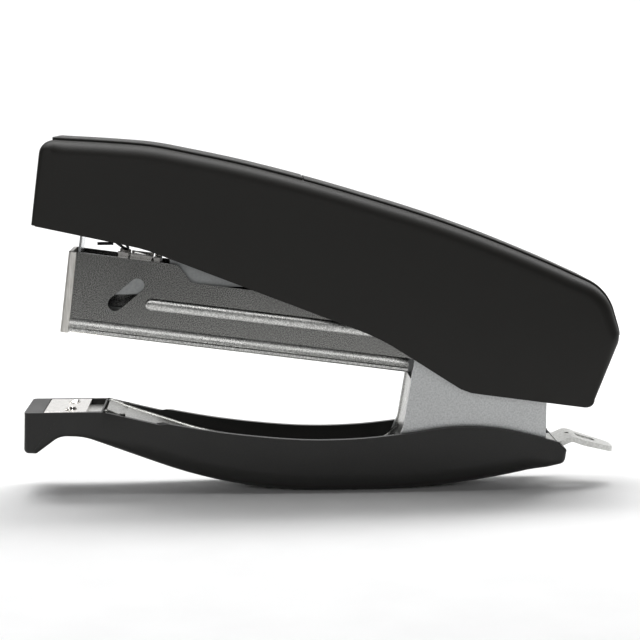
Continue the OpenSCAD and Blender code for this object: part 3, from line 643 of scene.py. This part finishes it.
bracket = bmesh.new()
corner_face(bracket, CHEEK, near_cheek)
hole(bracket, MAGAZINE_PIN, 2.02, near_cheek)
hole(bracket, HANDLE_PIN, 2.52, near_cheek)
sheet(bracket, FRAME_T + 0.06)
both_sides(bracket)
piece("frame_bracket", bracket, "frame", "grey_steel", grey_frame, "steel_frame", edge=0.3, segments=3)

# %% The tongue under the anvil and the web at the rear
UNDER_ANVIL = (5, 23.4, 22.5, 23.7, FRAME_HW - 0.3)
REAR_WEB = (TOTAL_L - 48, TOTAL_L - 23, 10.8, 12, FRAME_HW)
tongue = bmesh.new()
for x0, x1, z0, z1, half in (UNDER_ANVIL, REAR_WEB):
    box = bmesh.ops.create_cube(tongue, size=1)["verts"]
    bmesh.ops.scale(tongue, verts=box, vec=((x1 - x0) * MM, 2 * half * MM, (z1 - z0) * MM))
    bmesh.ops.translate(tongue, verts=box, vec=at((x0 + x1) / 2, 0, (z0 + z1) / 2))
piece("frame_tongue", tongue, "frame", "grey_steel", zinc, "steel_frame", edge=0.3)

# %% [markdown]
# ## The anvil
# A bright plate with two pressed pockets turns the staple's legs inwards. The pockets are
# sunk into a fine grid of faces, with a rounded lip.

# %% The anvil plate
ANVIL_X, ANVIL_HW, ANVIL_T = (6, 18.2), 10, 1.55
POCKET_X, POCKET_Y, POCKET_DEPTH, POCKET_HALF = 13.4, 5.35, 1.15, (1.75, 3.9)
anvil = bmesh.new()
bmesh.ops.create_grid(anvil, x_segments=64, y_segments=96, size=0.5)
bmesh.ops.scale(anvil, verts=anvil.verts, vec=((ANVIL_X[1] - ANVIL_X[0]) * MM, 2 * ANVIL_HW * MM, 1))
bmesh.ops.translate(anvil, verts=anvil.verts, vec=at((ANVIL_X[0] + ANVIL_X[1]) / 2, 0, NOSE_Z))
for vert in anvil.verts:
    x, y = (vert.co.x - START_X) / MM - POCKET_X, abs(vert.co.y) / MM - POCKET_Y
    reach = math.hypot(x / POCKET_HALF[0], y / POCKET_HALF[1])
    depth = POCKET_DEPTH * (1 - ease(reach, 0.7, 1.0, 0, 1))
    vert.co.z -= depth * MM * (1 - 0.35 * ease(y, -POCKET_HALF[1], POCKET_HALF[1], 0, 1))
extruded = bmesh.ops.extrude_edge_only(anvil, edges=open_edges(anvil))["geom"]
low = [g for g in extruded if isinstance(g, bmesh.types.BMVert)]
for vert in low:
    vert.co.z = at(0, 0, NOSE_Z - ANVIL_T).z
bmesh.ops.holes_fill(anvil, edges=open_edges(anvil), sides=0)
piece("anvil_pressed", anvil, "frame", "polished_nickel", bright_plate, "anvil_plate", edge=0.15, segments=2)

# %% [markdown]
# ## The staple remover
# A nickel tongue at the tail is slid under a staple's crown. It keeps its plain solid's
# outline, with the punched edges eased so that they shine.

# %% The remover
piece("remover_eased", from_solid("staple_remover"), "frame", "polished_nickel", zinc, "staple_remover",
      edge=0.25, segments=3)

# %% [markdown]
# ## The magazine
# Two plated side plates, folded from one sheet, hold the staples. Each has a step where the
# lever passes, a pressed rib and a rolled foot. Only the near one has the slanted slot.

# %% The side plates
GUIDE_T, CHANNEL_HW, PLATE_T, MAG_H, MAG_LOW_H = 2.4, 6.55, 0.8, 23.5, 18.5
PLATE_HW, FOOT_TOP, RACE_END, PIVOT_S, PIVOT_T = 7.35, 4.2, 102.55, 110.58, 10.4
PLATE = [(GUIDE_T, FOOT_TOP - 0.1, 0), (GUIDE_T, MAG_H, 1.2), (31.8, MAG_H - 0.2, 2),
         (36.2, MAG_LOW_H + 0.1, 2), (PIVOT_S + 6, MAG_LOW_H, 6), (PIVOT_S + 6, FOOT_TOP - 2, 5),
         (RACE_END, FOOT_TOP - 0.1, 0)]
SLOT_LOW, SLOT_HIGH, SLOT_R = Vector((14.9, 9.8)), Vector((20.7, 15.9)), 2.1
way = (SLOT_HIGH - SLOT_LOW).normalized() * SLOT_R
side = Vector((-way.y, way.x))
SLOT = [(*(SLOT_LOW - way - side), SLOT_R - 0.01), (*(SLOT_HIGH + way - side), SLOT_R - 0.01),
        (*(SLOT_HIGH + way + side), SLOT_R - 0.01), (*(SLOT_LOW - way + side), SLOT_R - 0.01)]


def side_plate(y, slotted):
    """One side plate with its pin hole, from y towards the positive side."""
    def on_plate(s, t):
        return in_magazine(s, y, t)

    bm = bmesh.new()
    corner_face(bm, PLATE, on_plate)
    if slotted:
        corner_face(bm, SLOT, on_plate)
    hole(bm, (PIVOT_S, PIVOT_T), 2.05, on_plate)
    sheet(bm, PLATE_T)
    return bm


plates = side_plate(-PLATE_HW, True)
far_mesh = bpy.data.meshes.new("far_plate")
far = side_plate(PLATE_HW - PLATE_T, False)
far.to_mesh(far_mesh)
far.free()
plates.from_mesh(far_mesh)
bpy.data.meshes.remove(far_mesh)
bmesh.ops.recalc_face_normals(plates, faces=plates.faces)
soften(plates, 0.24, 3)
print("plates:", len(plates.faces))

# %% The ribs and the rolled foot
RIB_T, RIB_W, RIB_OUT, RIB_S = 10.85, 1.85, 0.55, (23.6, 94.5)
stops = [0, 0.12, 0.35, 0.75, 1.2, RIB_W]
rib_stations = ([(RIB_S[0] + d, math.sqrt(max(1 - (1 - d / RIB_W) ** 2, 0))) for d in stops]
                + [(RIB_S[1] - d, math.sqrt(max(1 - (1 - d / RIB_W) ** 2, 0))) for d in reversed(stops)])
around = [math.pi * k / 12 for k in range(13)]
rib = []
for s, share in rib_stations:
    rib.append([in_magazine(s, -(PLATE_HW - 0.1) - (RIB_OUT + 0.1) * math.sqrt(share) * math.sin(a),
                            RIB_T + RIB_W * share * math.cos(a)) for a in around])
ribs = bmesh.new()
skin(ribs, rib, closed=True)
BEAD = [(7.05 + 0.88 * math.cos(math.radians(a)), 0.86 + 0.86 * math.sin(math.radians(a)))
        for a in range(60, -91, -15)]
FOOT = [(6.55, 0.85), (6.55, 4.3), (7.3, 4.3), (7.42, 4.15), (7.85, 2.35), (7.86, 2.15), (7.75, 1.98),
        (7.5, 1.88), (7.45, 1.8), (7.5, 1.72)] + BEAD
foot = [[in_magazine(s, -y, t) for y, t in FOOT] for s in (GUIDE_T, RACE_END)]
skin(ribs, foot, closed=True)
bmesh.ops.remove_doubles(ribs, verts=ribs.verts, dist=MERGE)
bmesh.ops.holes_fill(ribs, edges=open_edges(ribs), sides=0)
both_sides(ribs)
FLOOR_S, FLOOR_T = 3.6, 0.85
floor_plate = bmesh.ops.create_cube(ribs, size=1)["verts"]
bmesh.ops.scale(ribs, verts=floor_plate,
                vec=((RACE_END - FLOOR_S) * MM, 2 * (CHANNEL_HW + 0.05) * MM, FLOOR_T * MM))
bmesh.ops.rotate(ribs, verts=floor_plate, cent=(0, 0, 0), matrix=Matrix.Rotation(MAGAZINE_TILT, 3, "Y"))
bmesh.ops.translate(ribs, verts=floor_plate, vec=in_magazine((RACE_END + FLOOR_S) / 2, 0, FLOOR_T / 2))
# The ribs, the rolled foot and the floor take the brighter copy of the plates' chrome, a painted highlight.
piece("magazine_foot", ribs, "magazine", "dark_chrome", ribs_painted_highlight_chrome, "magazine_shell", edge=0.1, segments=2)
piece("magazine_plates", plates, "magazine", "dark_chrome", speckled_chrome, "magazine_shell")

# %% [markdown]
# ## The front guide
# A folded plate closes the magazine's front. The staple drops straight down behind it.

# %% The guide
GUIDE_HW, GUIDE_FOOT = 7.9, -0.3


def across(s, y):
    """A point of the guide's foot, seen from above."""
    return in_magazine(s, y, GUIDE_FOOT)


guide = bmesh.new()
corner_face(guide, [(0, -GUIDE_HW, 0.9), (GUIDE_T, -GUIDE_HW, 0), (GUIDE_T, -GUIDE_HW + 0.9, 0),
                    (0.95, -GUIDE_HW + 0.9, 0.3), (0.95, GUIDE_HW - 0.9, 0.3), (GUIDE_T, GUIDE_HW - 0.9, 0),
                    (GUIDE_T, GUIDE_HW, 0), (0, GUIDE_HW, 0.9)], across)
flat = bmesh.ops.triangle_fill(guide, edges=guide.edges, use_beauty=True)["geom"]
faces = [g for g in flat if isinstance(g, bmesh.types.BMFace)]
grown = bmesh.ops.extrude_face_region(guide, geom=faces)["geom"]
up = in_magazine(0, 0, MAG_H - GUIDE_FOOT) - in_magazine(0, 0, 0)
bmesh.ops.translate(guide, verts=[g for g in grown if isinstance(g, bmesh.types.BMVert)], vec=up)
piece("front_guide_folded", guide, "magazine", "polished_nickel", guide_plate, "front_guide",
      edge=0.18, segments=2)

# %% [markdown]
# ## Clips on the magazine's top
# Three short bent tabs on each side stand up beside the return spring's seat. They are cut
# from bright strip and keep the spring's foot from wandering sideways.

# %% The clips
TAB_FOOT, TAB_T = 23.2, 0.8
clips = bmesh.new()
for s0, s1, top in ((13.9, 17.2, 25.0), (17.4, 24.0, 24.8), (24.3, 26.5, 24.6)):
    for y in (-4.4, 4.4):
        tab = bmesh.ops.create_cube(clips, size=1)["verts"]
        bmesh.ops.scale(clips, verts=tab, vec=((s1 - s0) * MM, TAB_T * MM, (top - TAB_FOOT) * MM))
        bmesh.ops.rotate(clips, verts=tab, cent=(0, 0, 0), matrix=Matrix.Rotation(MAGAZINE_TILT, 3, "Y"))
        bmesh.ops.translate(clips, verts=tab, vec=in_magazine((s0 + s1) / 2, y, (top + TAB_FOOT) / 2))
piece("spring_clips", clips, "magazine", "polished_nickel", bright_plate, "spring_bridge",
      edge=0.2, segments=2)

# %% [markdown]
# ## Springs
# A round wire is spun around the coil's axis while it climbs, which is how a coiling machine
# makes it. The return spring leans back between the magazine and the lever.


# %% Coils
def coil(bm, foot, way, radius, wire, length, turns, steps=20):
    """A helical spring from its foot along a direction."""
    axis = Vector(way).normalized()
    side = axis.cross(Vector((0, 1, 0))).normalized()
    centre = foot + side * radius * MM
    ring = bmesh.ops.create_circle(bm, segments=10, radius=wire / 2 * MM)["verts"]
    turn = Vector((0, 0, 1)).rotation_difference(axis.cross(side)).to_matrix()
    bmesh.ops.rotate(bm, verts=ring, cent=(0, 0, 0), matrix=turn)
    bmesh.ops.translate(bm, verts=ring, vec=centre)
    edges = list({e for v in ring for e in v.link_edges})
    count = int(turns * steps)
    bmesh.ops.spin(bm, geom=edges, cent=foot, axis=axis, dvec=axis * (length * MM / count),
                   angle=2 * math.pi * turns, steps=count, use_merge=False)
    bmesh.ops.holes_fill(bm, edges=open_edges(bm), sides=0)


# %% The return spring
COIL_FOOT, COIL_L, COIL_R = (27.6, 72.7), 11, 2.6
lean = Vector((1, 0, 1)).normalized()
spring = bmesh.new()
coil(spring, at(COIL_FOOT[0], 0, COIL_FOOT[1]) + lean * 0.5 * MM, lean, COIL_R, 0.85, COIL_L - 1, 4.5)
wire_end = bmesh.ops.create_cone(spring, cap_ends=True, segments=12, radius1=0.47 * MM, radius2=0.47 * MM,
                                 depth=4.6 * MM)["verts"]
bmesh.ops.rotate(spring, verts=wire_end, cent=(0, 0, 0), matrix=Matrix.Rotation(math.radians(90), 3, "Y"))
bmesh.ops.translate(spring, verts=wire_end, vec=at(24.2, -COIL_R, 73.9))
return_coil = piece("return_coil", spring, "magazine", "spring_steel", spring_black, "return_spring")
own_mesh(return_coil)

# %% The follower's spring
FOLLOWER_END, ROD_T = 62.3, 9.8
spring = bmesh.new()
along = in_magazine(1, 0, 0) - in_magazine(0, 0, 0)
coil(spring, in_magazine(FOLLOWER_END + 0.3, 0, ROD_T), along, 1.95, 0.45, 35, 17, steps=16)
push_coil = piece("follower_coil", spring, "magazine", "spring_steel", spring_black, "follower_spring")
in_magazine(98.05, 0, ROD_T)
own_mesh(push_coil)

# %% [markdown]
# ## The staples
# The strip is a row of wire staples glued side by side, so one staple is bent and repeated.

# %% The strip
STAPLE_S, STRIP_L, WIRE, LEG, CROWN_W = 3.45, 50, 0.5, 6, 12.7
staples = bmesh.new()
count = int(STRIP_L / WIRE)
for i in range(count):
    s = STAPLE_S + i * WIRE + 0.02
    outline = [(-CROWN_W / 2, 0), (-CROWN_W / 2, LEG), (CROWN_W / 2, LEG), (CROWN_W / 2, 0),
               (CROWN_W / 2 - WIRE, 0), (CROWN_W / 2 - WIRE, LEG - WIRE), (-CROWN_W / 2 + WIRE, LEG - WIRE),
               (-CROWN_W / 2 + WIRE, 0)]
    verts = [staples.verts.new(in_magazine(s, y, 0.95 + t)) for y, t in outline]
    face = staples.faces.new(verts)
    grown = bmesh.ops.extrude_face_region(staples, geom=[face])["geom"]
    bmesh.ops.translate(staples, verts=[g for g in grown if isinstance(g, bmesh.types.BMVert)],
                        vec=along.normalized() * (WIRE - 0.04) * MM)
piece("staple_row", staples, "magazine", "staple_wire", staple_wire, "staple_strip")

# %% [markdown]
# ## Floor, light and camera
# A pale floor is swept up behind and has two lights of its own. A broad soft light overhead,
# a low strip in front and a rim light at the rear draw bright lines along the rolled metal,
# whose brighter chrome also carries a painted highlight, and the dark room behind the camera
# keeps the flat plating dark.

# %% Floor
floor_bm = bmesh.new()
FLOOR_LINE = [(-2.0, 0), (1.0, 0), (1.15, 0.02), (1.3, 0.08), (1.45, 0.2), (1.55, 0.4), (1.58, 0.8),
              (1.58, 2.2)]
skin(floor_bm, [[Vector((x, y, z)) for y, z in FLOOR_LINE] for x in (-3, 3)])
floor_mesh = bpy.data.meshes.new("floor")
for face in floor_bm.faces:
    face.smooth = True
floor_bm.to_mesh(floor_mesh)
floor_bm.free()
floor = bpy.data.objects.new("floor", floor_mesh)
bpy.context.scene.collection.objects.link(floor)
pale = finish("pale_floor", [(0.86, 0.86, 0.86), (0.88, 0.88, 0.88)], 0, (0.7, 0.8), grain=(50, 0.0),
              patches=3, specular=0.1)
floor_mesh.materials.append(pale)


# %% Lights
def soft_light(name, place, target, size, power, spread):
    data = bpy.data.lights.new(name, "AREA")
    data.shape, data.size, data.size_y, data.energy = "RECTANGLE", size[0], size[1], power
    data.spread = math.radians(spread)
    lamp = bpy.data.objects.new(name, data)
    bpy.context.scene.collection.objects.link(lamp)
    lamp.location = place
    lamp.rotation_euler = (Vector(target) - Vector(place)).to_track_quat("-Z", "Y").to_euler()


soft_light("overhead", (-0.03, 0.02, 0.6), (-0.01, 0.0, 0.05), (0.7, 0.22), 0.6, 100)
soft_light("backdrop_wash", (0, 0.55, 1.5), (0, 1.25, 0.2), (2.4, 0.6), 24, 150)
soft_light("behind_floor", (0, 0.35, 0.9), (0, 0.45, 0), (2.0, 0.5), 3.2, 120)
soft_light("front_strip", (-0.1, -0.6, 0.25), (0, 0, 0.05), (0.9, 0.14), 0.36, 120)
soft_light("rear_rim", (0.5, 0.35, 0.45), (0.05, 0, 0.06), (0.25, 0.4), 0.5, 120)
world = bpy.data.worlds.new("room")
bpy.context.scene.world = world
world.use_nodes = True
world.node_tree.nodes["Background"].inputs["Color"].default_value = (0.95, 0.97, 1, 1)
world.node_tree.nodes["Background"].inputs["Strength"].default_value = 0.03
bpy.context.scene.view_settings.view_transform = "Standard"

# %% Camera
camera_data = bpy.data.cameras.new("camera")
camera_data.lens, camera_data.sensor_width = 87.75, 36
camera_data.clip_start = 0.02
camera = bpy.data.objects.new("camera", camera_data)
bpy.context.scene.collection.objects.link(camera)
camera.location = at(63.82, -460, 116.59)
camera.rotation_euler = (math.radians(90 - 8.171), 0, math.radians(-2.906))
bpy.context.scene.camera = camera
